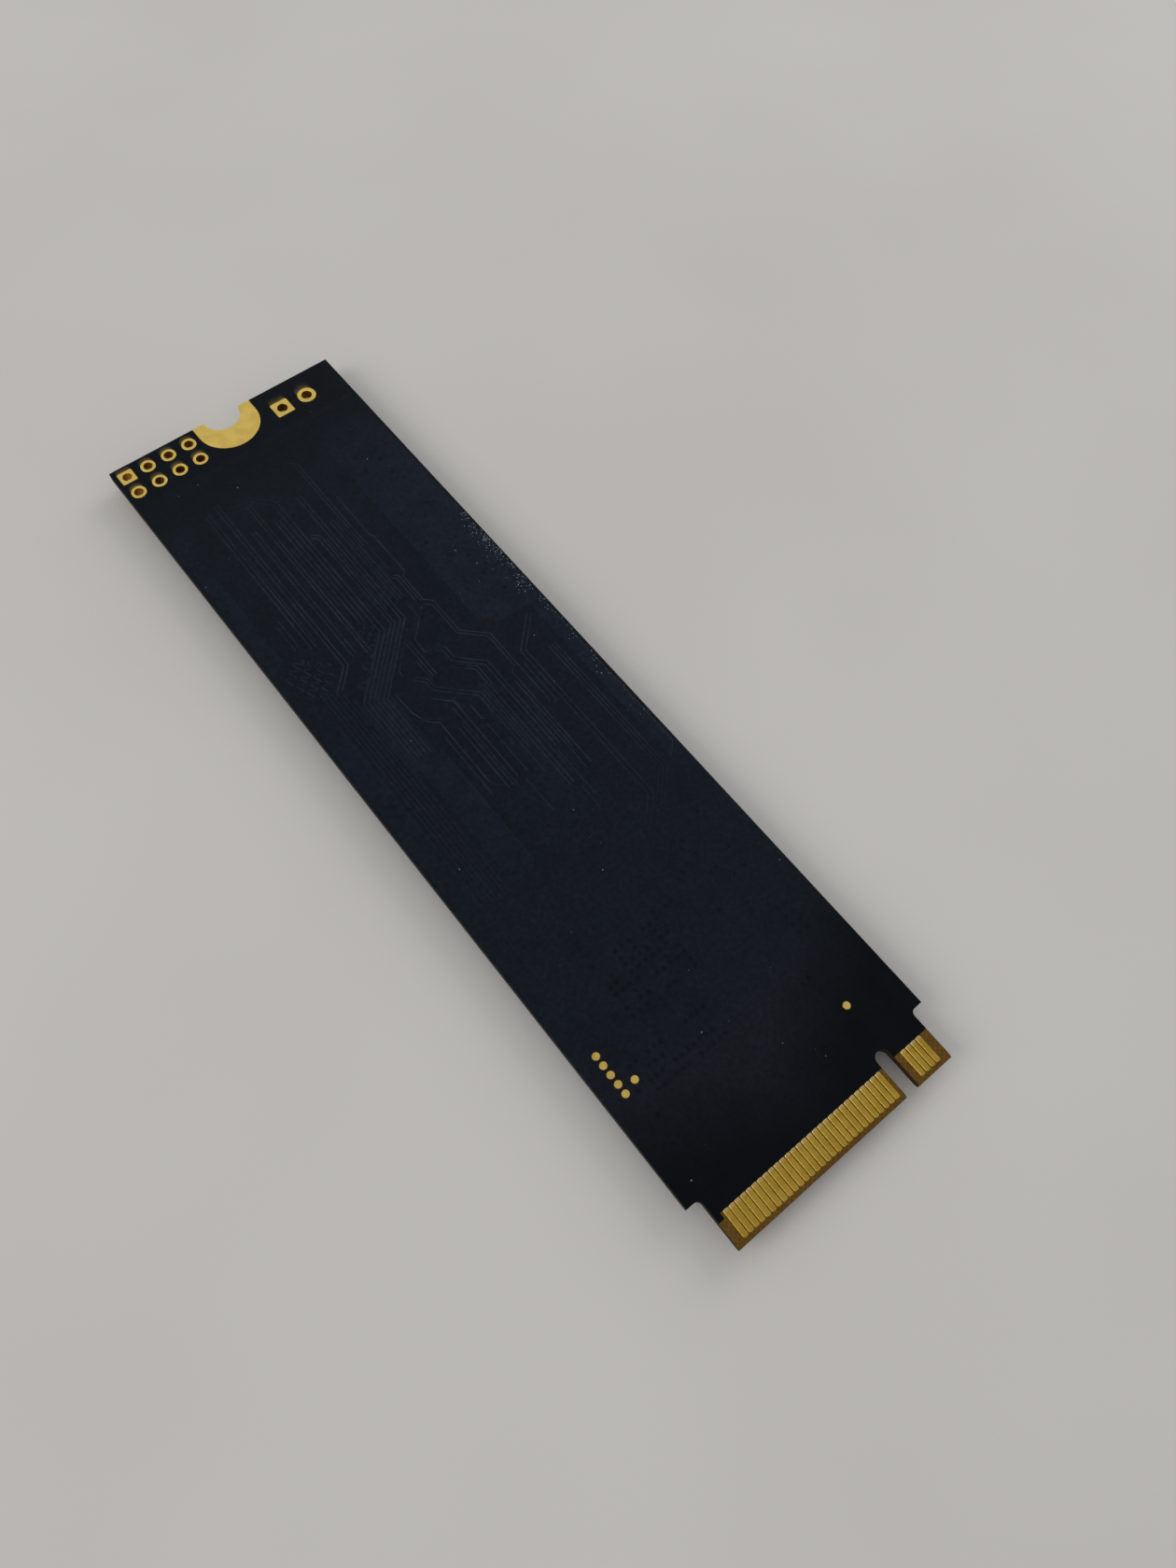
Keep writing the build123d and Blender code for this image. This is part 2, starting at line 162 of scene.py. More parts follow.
glass_epoxy, tree, shader, coordinates = new_material("glass_epoxy")
place = coordinates["Object"]
across, along, upward = add(tree, "SeparateXYZ", {0: place})
wander = maths(tree, "MULTIPLY", grain(tree, place, wander_scale), yarn_wander)
warp = waves(tree, across, yarn_pitch, wander)
weft = waves(tree, along, yarn_pitch, wander)
weave = ranged(tree, maths(tree, "MULTIPLY", warp, weft), -1.0, 1.0)
resin = mottled(tree, place, resin_scale, detail=4.0)
face_colour = mixed(tree, maths(tree, "MULTIPLY", weave, resin), epoxy_colour, glass_colour)
plies = maths(tree, "ADD", waves(tree, upward, ply_pitch), grain(tree, place, torn_scale))
edge_colour = shaded(tree, cut_edge_colour, ranged(tree, plies, -0.6, 1.6, 0.45, 1.5))
on_face = ranged(tree, levelness(tree, coordinates), 0.3, 0.8)
surface(tree, shader, mixed(tree, on_face, edge_colour, face_colour),
        ranged(tree, on_face, 0.0, 1.0, cut_edge_roughness, face_roughness))
shader.inputs["Specular IOR Level"].default_value = laminate_specular
bumped(tree, shader, maths(tree, "ADD", weave, resin), weave_relief)
nodes["laminate"].material_slots[0].material = glass_epoxy


# Solder mask on the back: a black epoxy film, printed and cured over the etched copper.
# It follows each trace and pour as a low rounded ridge, and stops short of the contacts and lands.
film_colour = (0.0051, 0.0069, 0.0100, 1)
over_copper_colour = (0.0071, 0.0091, 0.0160, 1)
end_reflection_colour = (0.0085, 0.0080, 0.0122, 1)
shoulder_highlight_colour = (0.020, 0.024, 0.032, 1)
dimple_shade_colour = (0.0010, 0.0014, 0.0024, 1)
thin_colour = (0.26, 0.185, 0.055, 1)
dust_colour = (0.30, 0.31, 0.33, 1)
film_tint = (0.63, 0.80, 1.0, 1)
film_specular = 0.115
film_relief = 0.0035 * mm
cloud_scale = 420.0
blotch_scale = 2600.0
patch_scale = 170.0
highlight_scale = 520.0
scuff_scale = 700.0
wipe_scale = 900.0
flow_scale = 1500.0
grit_scale = 16000.0
fine_dust_scale = 2300.0
coarse_dust_scale = 1000.0
ragged_scale = 11000.0
ragged_reach = 0.09 * mm
dust_cover = 0.55
dust_roughness = 0.9
bus_highlight = 0.55
film_thickness = 0.03 * mm
film_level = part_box("laminate")[1][2] + film_thickness
ridge_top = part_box("solder_mask_back")[1][2]
raised_start = film_level + 0.004 * mm
raised_full = film_level + 0.018 * mm
slope_foot = film_level + 0.002 * mm
trace_slope = 0.045 * mm
pour_slope = 0.13 * mm
pour_end_inside = 33.3 * mm
pour_end_outside = 34.6 * mm
pour_end_run = 0.6 * mm
widest_trace = 0.20 * mm
left_traces = -6.5 * mm
left_fade = (-11.0 * mm, 15.0 * mm)
left_least = 0.05
head_fade = (21.0 * mm, 32.0 * mm)
head_loss = 0.6
mask_crease = 30.0
level_slack = 0.005 * mm
weld = 0.0001 * mm


def faded(tree, value, along, low, high, at_low, at_high):
    """A value multiplied by a factor that changes between two places along a coordinate, in mm."""
    return maths(tree, "MULTIPLY", value, ranged(tree, along, low * mm, high * mm, at_low, at_high))


def band(tree, along, start, full, last, end):
    """One from a full place to a last place along a coordinate, in mm, with soft ends and nothing beyond."""
    return faded(tree, ranged(tree, along, start * mm, full * mm), along, last, end, 1.0, 0.0)


dust_specks, given = new_group("dust_specks", "Specks", "Vector", "Scale", "Density", "Size")
ragged = add(dust_specks, "TexNoise", {"Vector": given["Vector"], "Scale": ragged_scale, "Detail": 2.0})[1]
shaken = add(dust_specks, "VectorMath", {0: ragged, 1: (0.5, 0.5, 0.5)}, operation="SUBTRACT")[0]
shaken = add(dust_specks, "VectorMath", {0: shaken, "Scale": ragged_reach}, operation="SCALE")[0]
shaken = add(dust_specks, "VectorMath", {0: given["Vector"], 1: shaken}, operation="ADD")[0]
cells = add(dust_specks, "TexVoronoi", {"Vector": shaken, "Scale": given["Scale"]})
chance = add(dust_specks, "SeparateColor", {0: cells["Color"]})
reach = maths(dust_specks, "MULTIPLY", given["Size"], ranged(dust_specks, chance[1], 0.0, 1.0, 0.3, 1.0))
speck = maths(dust_specks, "LESS_THAN", cells["Distance"], reach)
speck = maths(dust_specks, "MULTIPLY", speck, maths(dust_specks, "LESS_THAN", chance[0], given["Density"]))
speck = maths(dust_specks, "MULTIPLY", speck, ranged(dust_specks, chance[2], 0.0, 1.0, 0.25, 1.0))
finish_group(dust_specks, speck)


def dust(tree, place, scale, density, size):
    """Ragged specks in a share of the cells of a pattern, each with its own size and strength."""
    values = {"Vector": place, "Scale": scale, "Density": density, "Size": size}
    return add(tree, "Group", values, node_tree=dust_specks)[0]


solder_mask, tree, shader, coordinates = new_material("solder_mask")
place = coordinates["Object"]
across, along, upward = add(tree, "SeparateXYZ", {0: place})

# The film is cloudy, and darker towards both ends of the board: this darkening is painted shade, standing for
# a dimmer reflection of the room there.
tone_factor = mottled(tree, place, cloud_scale, detail=6.0, rough=0.62, low=0.85, high=1.15)
blotched = mottled(tree, place, blotch_scale, detail=4.0, rough=0.7, low=0.72, high=1.28)
tone_factor = maths(tree, "MULTIPLY", tone_factor, blotched)
slanted = maths(tree, "SUBTRACT", along, maths(tree, "MULTIPLY", maths(tree, "ABSOLUTE", across), 0.5))
slanted = maths(tree, "SUBTRACT", slanted, maths(tree, "MULTIPLY", across, 0.15))
tone_factor = faded(tree, tone_factor, slanted, -39.0, -29.0, 0.1, 1.0)
tone_factor = faded(tree, tone_factor, along, 29.5, 36.5, 1.0, 0.42)

# Copper changes the film's tone, less on the contact half, near the notch and at the left edge.
raised = ranged(tree, upward, raised_start, raised_full)
raised = faded(tree, raised, along, 23.0, 33.0, 1.0, 0.25)
raised = faded(tree, raised, along, -14.0, -4.0, 0.15, 1.0)
raised = faded(tree, raised, across, -9.4, -8.8, 0.5, 1.0)
patchy = ranged(tree, grain(tree, place, patch_scale, detail=2.0), 0.38, 0.58, 0.75, 1.0)
tone = mixed(tree, maths(tree, "MULTIPLY", raised, patchy), film_colour, over_copper_colour)
# Painted reflection: towards the contact end the film is mixed into a paler purple-grey tone.
tone = mixed(tree, ranged(tree, along, -34.0 * mm, -24.0 * mm, 1.0, 0.0), tone, end_reflection_colour)

# The slopes of the ridges are painted pale, a painted highlight that stands for their glints: less towards
# both ends and left of the bus, and evenly on the bus.
slope_highlight = ranged(tree, grain(tree, place, highlight_scale, detail=6.0, rough=0.65), 0.40, 0.66, 0.04, 0.70)
slope_highlight = faded(tree, slope_highlight, along, -14.0, 7.0, 0.10, 1.0)
slope_highlight = faded(tree, slope_highlight, along, 25.0, 32.0, 1.0, 0.35)
dim_left_of_bus = faded(tree, ranged(tree, across, -6.8 * mm, -6.0 * mm, 1.0, 0.0), along, 8.0, 12.0, 1.0, 0.0)
slope_highlight = maths(tree, "MULTIPLY", slope_highlight, ranged(tree, dim_left_of_bus, 0.0, 1.0, 1.0, 0.25))
on_bus = maths(tree, "MULTIPLY", band(tree, across, -6.9, -6.2, -4.5, -4.2),
               band(tree, along, 0.5, 3.0, 7.0, 8.0))
slope_highlight = maths(tree, "MAXIMUM", slope_highlight, maths(tree, "MULTIPLY", on_bus, bus_highlight))
tilted = ranged(tree, levelness(tree, coordinates), 0.985, 0.86)
tone = mixed(tree, maths(tree, "MULTIPLY", tilted, slope_highlight), tone, shoulder_highlight_colour)
# Painted shade darkens the via dimples; past the lands, copper shines through thin mask.
for attribute, colour in (("dimple_shade", dimple_shade_colour), ("thin", thin_colour)):
    tone = mixed(tree, add(tree, "Attribute", attribute_name=attribute)["Fac"], tone, colour)
tone = shaded(tree, tone, tone_factor)

# Dust is thin all over, and thick along the scuffed right edge.
along_edge = maths(tree, "MULTIPLY", ranged(tree, across, 8.9 * mm, 10.4 * mm),
                   band(tree, along, -1.0, 7.0, 12.0, 24.0))
scuffs = ranged(tree, grain(tree, place, scuff_scale, detail=4.0), 0.35, 0.65)
scuffed = maths(tree, "MULTIPLY", along_edge, scuffs)
fine = dust(tree, place, fine_dust_scale, ranged(tree, scuffed, 0.0, 1.0, 0.012, 0.40), 0.14)
coarse = dust(tree, place, coarse_dust_scale, ranged(tree, scuffed, 0.0, 1.0, 0.0, 0.40), 0.09)
specks = maths(tree, "MAXIMUM", fine, coarse)
tone = mixed(tree, maths(tree, "MULTIPLY", specks, dust_cover), tone, dust_colour)
wiped = add(tree, "Mapping", {"Vector": place, "Rotation": (0, 0, 0.6), "Scale": (1.0, 0.16, 1.0)})[0]
sheen = mottled(tree, wiped, wipe_scale, detail=5.0, low=0.34, high=0.44)
surface(tree, shader, tone, maths(tree, "MAXIMUM", sheen, maths(tree, "MULTIPLY", specks, dust_roughness)))
shader.inputs["Specular IOR Level"].default_value = film_specular
shader.inputs["Specular Tint"].default_value = film_tint
grit = maths(tree, "MULTIPLY", grain(tree, place, grit_scale), 0.25)
flow = maths(tree, "ADD", grain(tree, place, flow_scale, detail=2.0), grit)
bumped(tree, shader, maths(tree, "ADD", flow, specks), film_relief)


def merged_copy(node):
    """bmesh of a CAD node with its loose triangles joined into whole faces."""
    shape = bmesh.new()
    shape.from_mesh(nodes[node].data)
    bmesh.ops.remove_doubles(shape, verts=shape.verts, dist=weld)
    bmesh.ops.dissolve_limit(shape, angle_limit=0.01, verts=shape.verts, edges=shape.edges)
    return shape


def make_piece(name, shape, material, crease=50.0):
    """Object of a bmesh, shaded smooth up to the crease angle, with its flat faces kept flat."""
    mesh = bpy.data.meshes.new(name)
    shape.to_mesh(mesh)
    shape.free()
    mesh.shade_smooth()
    around = [[] for vertex in mesh.vertices]
    for face in mesh.polygons:
        for vertex in face.vertices:
            around[vertex].append((face.normal.copy(), face.area / mm ** 2))
    limit = math.cos(math.radians(crease))
    normals = []
    for face in mesh.polygons:
        for vertex in face.vertices:
            near = [normal * area for normal, area in around[vertex] if normal.dot(face.normal) > limit]
            normals.append(sum(near, Vector()).normalized())
    mesh.normals_split_custom_set(normals)
    mesh.materials.append(material)
    piece = bpy.data.objects.new(name, mesh)
    bpy.context.scene.collection.objects.link(piece)
    return piece


def sloped(shape, tops, run):
    """Draws in the flat tops and lowers their old rims, so that their upright walls become slopes."""
    ring = bmesh.ops.inset_region(shape, faces=tops, thickness=run, use_boundary=True, use_even_offset=True)
    kept = {vertex for face in tops for vertex in face.verts}
    for vertex in {vertex for face in ring["faces"] for vertex in face.verts} - kept:
        vertex.co.z = slope_foot


def part_way(value, start, end):
    """How far a value has come from a start to an end, from 0 to 1."""
    return min(max((value - start) / (end - start), 0.0), 1.0)


shape = merged_copy("solder_mask_back")
tops = [face for face in shape.faces
        if face.normal.z > 0.9 and face.calc_center_median().z > ridge_top - level_slack]
narrow = [face for face in tops if 2 * face.calc_area() / face.calc_perimeter() < widest_trace]
wide = [face for face in tops if face not in narrow]
sloped(shape, narrow, trace_slope)
sloped(shape, wide, pour_slope)
for vertex in {vertex for face in wide for vertex in face.verts}:
    if vertex.co.y > pour_end_outside:
        vertex.co.y -= pour_end_run
    elif vertex.co.y > pour_end_inside:
        vertex.co.y += pour_end_run
for vertex in {vertex for face in narrow for vertex in face.verts}:
    left_over = 1.0 - head_loss * part_way(vertex.co.y, *head_fade)
    if vertex.co.x < left_traces:
        left_over *= max(part_way(vertex.co.y, *left_fade), left_least)
    vertex.co.z = film_level + (ridge_top - film_level) * left_over
mask_surface = BVHTree.FromBMesh(shape)
mask_film = make_piece("mask_film", shape, solder_mask, mask_crease)
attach(mask_film, "root")
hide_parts("solder_mask_back")


# Solder mask on the component side: the same film, printed over the other face.
# It lies flat under the packages and chips, and is seen only from below.
nodes["solder_mask_front"].material_slots[0].material = solder_mask


# Length-matching meanders: copper traces that wind to and fro, so that all lines of a bus are equally long.
# They are etched with the other traces, and the mask covers them as it covers the rest.
meander_width = 0.15 * mm
bold_width = 0.19 * mm
meander_height = 0.040 * mm
ridge_root = 0.004 * mm
ridge_weld = 0.0005 * mm
# Start, heading in degrees, number of turns, pitch and swing of each run, in mm
meander_runs = (
    ((-10.3, 12.9), 33, 7, 0.36, 0.34), ((-9.9, 11.9), 35, 8, 0.36, 0.32), ((-9.5, 10.9), 38, 8, 0.36, 0.30),
    ((-8.9, 10.1), 42, 7, 0.36, 0.28), ((-3.05, 14.1), -90, 6, 0.40, 0.28),
    ((-2.2, 14.0), -90, 5, 0.42, 0.30), ((-7.7, 13.4), -42, 4, 0.36, 0.24),
    ((1.6, 20.3), -90, 5, 0.40, 0.16), ((0.1, -1.2), -40, 3, 0.36, 0.26),
)
bold_runs = (((-6.1, 8.5), 47, 3, 0.62, 0.46), ((-4.9, 9.9), 45, 3, 0.58, 0.40))


def ridge_lines(name, paths, width, height, level, outward=1):
    """Low half-round ridges along the paths, with flat closed undersides."""
    curve = bpy.data.curves.new(name, "CURVE")
    curve.dimensions = "3D"
    curve.bevel_depth = width / 2
    curve.bevel_resolution = 1
    curve.use_fill_caps = True
    curve.resolution_u = 3
    for path in paths:
        line = curve.splines.new("NURBS" if len(path) > 3 else "POLY")
        line.points.add(len(path) - 1)
        for point, (x, y) in zip(line.points, path):
            point.co = (x * mm, y * mm, 0, 1)
        line.order_u = 3
        line.use_endpoint_u = True
    holder = bpy.data.objects.new(name, curve)
    mesh = bpy.data.meshes.new_from_object(holder)
    bpy.data.objects.remove(holder)
    shape = bmesh.new()
    shape.from_mesh(mesh)
    bmesh.ops.scale(shape, vec=(1, 1, height / (width / 2)), verts=shape.verts)
    for vertex in shape.verts:
        vertex.co.z = level + outward * max(vertex.co.z, -ridge_root)
    bmesh.ops.remove_doubles(shape, verts=shape.verts, dist=ridge_weld)
    bmesh.ops.recalc_face_normals(shape, faces=shape.faces)
    return shape


def winding(start, heading, turns, pitch, swing):
    """Corner points of a line that swings from side to side along its heading."""
    ahead = Vector((math.cos(math.radians(heading)), math.sin(math.radians(heading))))
    aside = Vector((-ahead.y, ahead.x))
    path = [Vector(start)]
    for turn in range(turns):
        side = swing if turn % 2 else -swing
        path.append(Vector(start) + ahead * pitch * (turn + 0.25) + aside * side)
        path.append(Vector(start) + ahead * pitch * (turn + 0.95) + aside * side)
    path.append(Vector(start) + ahead * pitch * (turns + 0.3))
    return path


for name, runs, width in (("meander_traces", meander_runs, meander_width),
                          ("meander_bold", bold_runs, bold_width)):
    paths = [winding(*run) for run in runs]
    lines = ridge_lines(name + "_lines", paths, width, meander_height, film_level)
    meanders = make_piece(name, lines, solder_mask)
    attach(meanders, "root")


# Fine lines and plane areas: thinner copper between the main traces, and the planes that the bus runs over.
# Both are etched in the same layer; the film levels them, so they show as faint ridges and a change of tone.
fine_width = 0.11 * mm
fine_height = 0.030 * mm
faint_height = 0.012 * mm
fine_paths = (
    ((-1.15, 3.4), (-1.15, -6.2)), ((0.15, 0.6), (0.15, -4.5)), ((1.15, 0.9), (1.15, -5.5)),
    ((1.5, 0.9), (1.5, -3.0)), ((2.8, 2.4), (2.8, -6.8)), ((3.05, -4.5), (3.05, -9.6)),
    ((3.9, -0.6), (3.9, -7.2)), ((-0.35, -5.0), (-0.35, -8.4)), ((2.6, -8.0), (2.6, -10.2)),
    ((-3.15, 1.6), (-3.15, -4.4)), ((5.75, 3.4), (5.75, -0.9), (5.3, -1.35)), ((-7.6, 19.0), (-7.6, 14.9)),
    ((-6.25, 27.0), (-6.25, 15.0)), ((0.0, 23.0), (0.0, 14.0)), ((2.35, 20.0), (2.35, 17.2)),
    ((-2.9, 24.0), (-2.9, 16.6)), ((-8.0, 18.0), (-8.0, 15.2)), ((1.75, 3.3), (1.75, -2.6)),
    ((2.02, 3.6), (2.02, 1.9)), ((2.37, 3.3), (2.37, 1.9)), ((-0.95, 8.5), (-0.95, 6.3)),
    ((0.13, 10.3), (0.13, 8.8)),
)
faint_paths = (
    ((-9.6, -12.5), (-9.6, -19.0)), ((-6.9, -12.6), (-6.9, -19.0)), ((-8.8, -12.5), (-8.8, -18.4)),
    ((-2.0, -12.2), (-5.6, -15.8)), ((6.9, -20.4), (2.2, -25.1)), ((6.2, -18.6), (2.6, -22.2)),
)
for name, paths, height in (("fine_traces", fine_paths, fine_height),
                            ("faint_traces", faint_paths, faint_height)):
    lines = make_piece(name, ridge_lines(name + "_lines", paths, fine_width, height, film_level), solder_mask)
    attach(lines, "root")

bus_plane_height = 0.018 * mm
other_plane_height = 0.012 * mm
plane_root = 0.002 * mm
plane_edge = 0.009 * mm
bus_plane = ((-1.9, 12.7), (0.9, 12.7), (-4.3, 7.4), (-4.3, 0.5), (-7.0, 0.5), (-7.0, 7.5))
other_planes = (
    ((1.7, 4.0), (4.1, 2.2), (4.1, -1.0), (3.7, -2.6), (3.7, -9.4), (2.2, -10.9), (-2.2, -10.9), (-3.3, -9.6),
     (-3.3, -5.6), (0.6, -4.9), (0.6, 0.2)),
    ((-1.2, 18.2), (2.1, 18.2), (2.1, 14.9), (-1.2, 14.9)),
    ((0.3, 9.6), (2.6, 9.6), (2.6, 8.9), (1.9, 8.2), (0.3, 8.2)),
)


def rounded(shape, edges, offset, segments):
    bmesh.ops.bevel(shape, geom=edges, offset=offset, offset_type="OFFSET", segments=segments, profile=0.5,
                    affect="EDGES", clamp_overlap=False, material=-1)


shape = bmesh.new()
for outline in (bus_plane, *other_planes):
    corners = [shape.verts.new((x * mm, y * mm, film_level - plane_root)) for x, y in outline]
    base = shape.faces.new(corners)
    lifted = bmesh.ops.extrude_face_region(shape, geom=[base])["geom"]
    lifted = [item for item in lifted if isinstance(item, bmesh.types.BMVert)]
    height = bus_plane_height if outline is bus_plane else other_plane_height
    bmesh.ops.translate(shape, verts=lifted, vec=(0, 0, height))
bmesh.ops.recalc_face_normals(shape, faces=shape.faces)
rims = [edge for edge in shape.edges if all(vertex.co.z > film_level for vertex in edge.verts)]
rounded(shape, rims, plane_edge, 2)
planes = make_piece("copper_planes", shape, solder_mask)
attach(planes, "root")


# Tented vias: small plated holes that join the copper layers, closed by the mask.
# The film stands up on each via's land and sinks into its hole, which leaves a dimple, darkened with painted
# shade.
via_land_radius = 0.26 * mm
via_hole_radius = 0.15 * mm
via_rise = 0.005 * mm
via_sill = 0.002 * mm
via_floor = 0.001 * mm
via_root = 0.002 * mm
via_sides = 10
dimple_shade_most = 0.60
open_vias = [
    (8.2, -15.2), (8.4, -16.0), (5.75, -16.3), (5.25, -16.75), (5.9, -17.7), (8.2, -18.7), (8.9, -18.6),
    (6.3, -19.4), (7.0, -20.6), (8.1, -20.6), (3.5, -18.35), (4.1, -18.15), (2.0, -19.3), (1.45, -19.4),
    (0.4, -19.2), (4.3, -22.0), (6.2, -23.3), (6.3, -22.8), (7.6, -31.1), (8.3, -31.3), (9.3, -30.3),
    (9.4, -31.4), (9.4, -32.5), (8.4, -32.6), (8.4, -33.4), (9.4, -33.4), (7.2, -34.0), (7.9, -33.6),
    (8.4, -34.3), (9.4, -34.4), (2.4, -34.1), (3.4, -34.0), (2.6, -35.0), (3.4, -35.0), (3.0, -34.5),
    (-8.6, -30.3), (-9.0, -32.3), (5.3, -29.8), (5.9, -29.7),
]
open_vias += [(7.8 + 0.7 * column, -24.6 - 0.78 * row) for column in range(2) for row in range(4)]
scatter = random.Random(11)
open_vias += [(-5.6 + 0.65 * column, -19.7 - 0.62 * row) for column in range(10) for row in range(8)
              if scatter.random() < 0.55]
open_vias += [(-8.6 + 0.56 * column, -26.6 - 0.8 * row) for column in range(14) for row in range(4)
              if scatter.random() < 0.6]
pour_vias = [
    (8.9, 22.0), (8.9, 21.0), (8.7, 16.6), (8.4, 14.4), (8.4, 12.2), (8.9, 10.0), (6.7, 27.0), (8.4, 27.3),
    (8.4, 25.5), (8.9, 24.4), (8.1, 31.4), (6.7, 28.8), (8.0, 20.0), (6.4, 17.6), (7.3, 15.2), (9.1, 12.9),
]


def repeated(single, places, shape=None):
    """A copy of a single bmesh at each place, in one new bmesh or added to a given one."""
    pattern = bpy.data.meshes.new("pattern")
    single.to_mesh(pattern)
    single.free()
    if shape is None:
        shape = bmesh.new()
    for place in places:
        start = len(shape.verts)
        shape.from_mesh(pattern)
        shape.verts.ensure_lookup_table()
        bmesh.ops.translate(shape, verts=shape.verts[start:], vec=place)
    bpy.data.meshes.remove(pattern)
    return shape


def spun(profile, steps):
    """Solid of a closed profile of radii and heights, turned once about the upright axis."""
    shape = bmesh.new()
    ring = [shape.verts.new((radius, 0, height)) for radius, height in profile]
    edges = [shape.edges.new(pair) for pair in zip(ring, ring[1:] + ring[:1])]
    bmesh.ops.spin(shape, geom=ring + edges, axis=(0, 0, 1), angle=2 * math.pi, steps=steps, use_merge=True)
    bmesh.ops.remove_doubles(shape, verts=shape.verts, dist=weld)
    bmesh.ops.recalc_face_normals(shape, faces=shape.faces)
    # On solids as small as a via, recalculated normals can come out inwards.
    if shape.calc_volume(signed=True) < 0:
        bmesh.ops.reverse_faces(shape, faces=shape.faces)
    return shape


def via_dimple(outward):
    """Film over one via, with an attribute that sets how much painted shade darkens its dimple."""
    profile = [(via_land_radius, -via_root), (via_land_radius * 0.85, via_rise),
               (via_hole_radius * 1.2, via_rise), (via_hole_radius * 0.6, via_sill),
               (0.0, via_floor), (0.0, -via_root)]
    dimple = spun([(radius, height * outward) for radius, height in profile], via_sides)
    layer = dimple.verts.layers.float.new("dimple_shade")
    for vertex in dimple.verts:
        out = vertex.co.xy.length / via_hole_radius
        vertex[layer] = dimple_shade_most * part_way(out, 1.7, 0.7)
    return dimple


places = [(x * mm, y * mm, film_level) for x, y in open_vias]
places += [(x * mm, y * mm, ridge_top + via_floor) for x, y in pour_vias]
vias = make_piece("tented_vias", repeated(via_dimple(1), places), solder_mask)
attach(vias, "root")


# Component-side traces and vias: pairs from the controller to the contacts, and buses between the packages.
# They are etched and covered like those of the back, and run in the gaps between the packages and chips.
front_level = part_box("solder_mask_front")[0][2]
front_paths = []
for pair in range(4):
    for line in range(2):
        start_x = -6.0 + 2.0 * pair + line
        end_x = -5.75 + 1.5 * pair + 0.5 * line
        bend_y = -33.0 - abs(start_x - end_x)
        front_paths.append(((start_x, -28.7), (start_x, -30.6)))
        front_paths.append(((start_x, -31.4), (start_x, -33.0), (end_x, bend_y), (end_x, -37.3)))


def bus(first, pitch, count, start, end, stagger=0.0):
    """Parallel lines along the board, each starting a little after the one before, in mm."""
    return [((first + pitch * line, start - stagger * line), (first + pitch * line, end))
            for line in range(count)]


front_paths += bus(-10.6, 0.3, 3, 33.0, -30.0, 0.3)
front_paths += bus(6.0, 0.4, 6, 30.0, -10.0, 0.4)
front_paths += bus(1.2, 0.35, 6, -16.3, -11.7)
front_paths += bus(1.2, 0.35, 6, 6.7, 11.3)
front_paths += [((3.7, -18.0 - 0.9 * line), (5.9, -18.0 - 0.9 * line)) for line in range(9)]
front_vias = [(5.0 + 0.5 * column, y + 0.5 * row)
              for column in range(2) for row in range(3) for y in (26.0, 4.5, -9.5)]
for first, pitch, count, y in ((-9.2, 0.6, 18, 31.6), (-7.8, 0.9, 3, 8.0),
                               (-7.8, 0.9, 2, -29.6), (5.0, 0.8, 6, -33.2)):
    front_vias += [(first + pitch * step, y) for step in range(count)]
places = [(x * mm, y * mm, front_level) for x, y in front_vias]
lines = ridge_lines("front_lines", front_paths, fine_width, fine_height, front_level, -1)
for name, shape in (("front_traces", lines), ("front_vias", repeated(via_dimple(-1), places))):
    piece = make_piece(name, shape, solder_mask)
    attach(piece, "root")


# Gold contacts: copper fingers plated with nickel and gold, in two groups beside the key slot.
# Each is a thin bar with rounded ends, bonded to the laminate, and slides under a spring of the socket.
gold_colour = (0.97, 0.715, 0.185, 1)
deep_gold_colour = (0.86, 0.590, 0.115, 1)
contact_end_tint_colour = (0.76, 0.75, 0.78, 1)
hard_gold_colour = (0.67, 0.61, 0.37, 1)
tip_highlight_colour = (1.0, 0.93, 0.74, 1)
barrel_shade_colour = (0.64, 0.42, 0.18, 1)
pale_scale = 1100.0
etch_scale = 30000.0
etch_relief = 0.0012 * mm
finger_end_round = 0.10 * mm
finger_edge_round = 0.024 * mm
off_middle = 0.01 * mm
foot_share = 1.16

gold_plate, tree, shader, coordinates = new_material("gold_plate")
place = coordinates["Object"]
along = add(tree, "SeparateXYZ", {0: place})[1]
# The gold is darker and greyer towards the contact end.
toward_contact_end = ranged(tree, along, -28.0 * mm, 20.0 * mm, 1.0, 0.0)
hard = ranged(tree, along, -37.2 * mm, -37.0 * mm, 1.0, 0.0)
# Painted highlight: the top end of each contact is lightened toward pale gold, standing for its glint.
tip_highlight = faded(tree, hard, along, -37.85, -37.50, 0.0, 0.22)
pale = ranged(tree, grain(tree, place, pale_scale, detail=4.0), 0.32, 0.68)
etched = grain(tree, place, etch_scale, rough=0.7)
# Painted shade: the walls of the plated holes are darkened toward brown.
barrel_shade = add(tree, "Attribute", attribute_name="barrel_shade")["Fac"]
lustre = mixed(tree, ranged(tree, pale, 0.0, 1.0, 0.35, 0.85), deep_gold_colour, gold_colour)
lustre = mixed(tree, toward_contact_end, lustre, contact_end_tint_colour, "MULTIPLY")
lustre = mixed(tree, hard, lustre, hard_gold_colour, "MULTIPLY")
lustre = mixed(tree, tip_highlight, lustre, tip_highlight_colour)
lustre = mixed(tree, barrel_shade, lustre, barrel_shade_colour, "MULTIPLY")
surface(tree, shader, lustre, ranged(tree, maths(tree, "ADD", etched, pale), 0.4, 1.6, 0.26, 0.40))
shader.inputs["Metallic"].default_value = 1.0
bumped(tree, shader, etched, etch_relief)


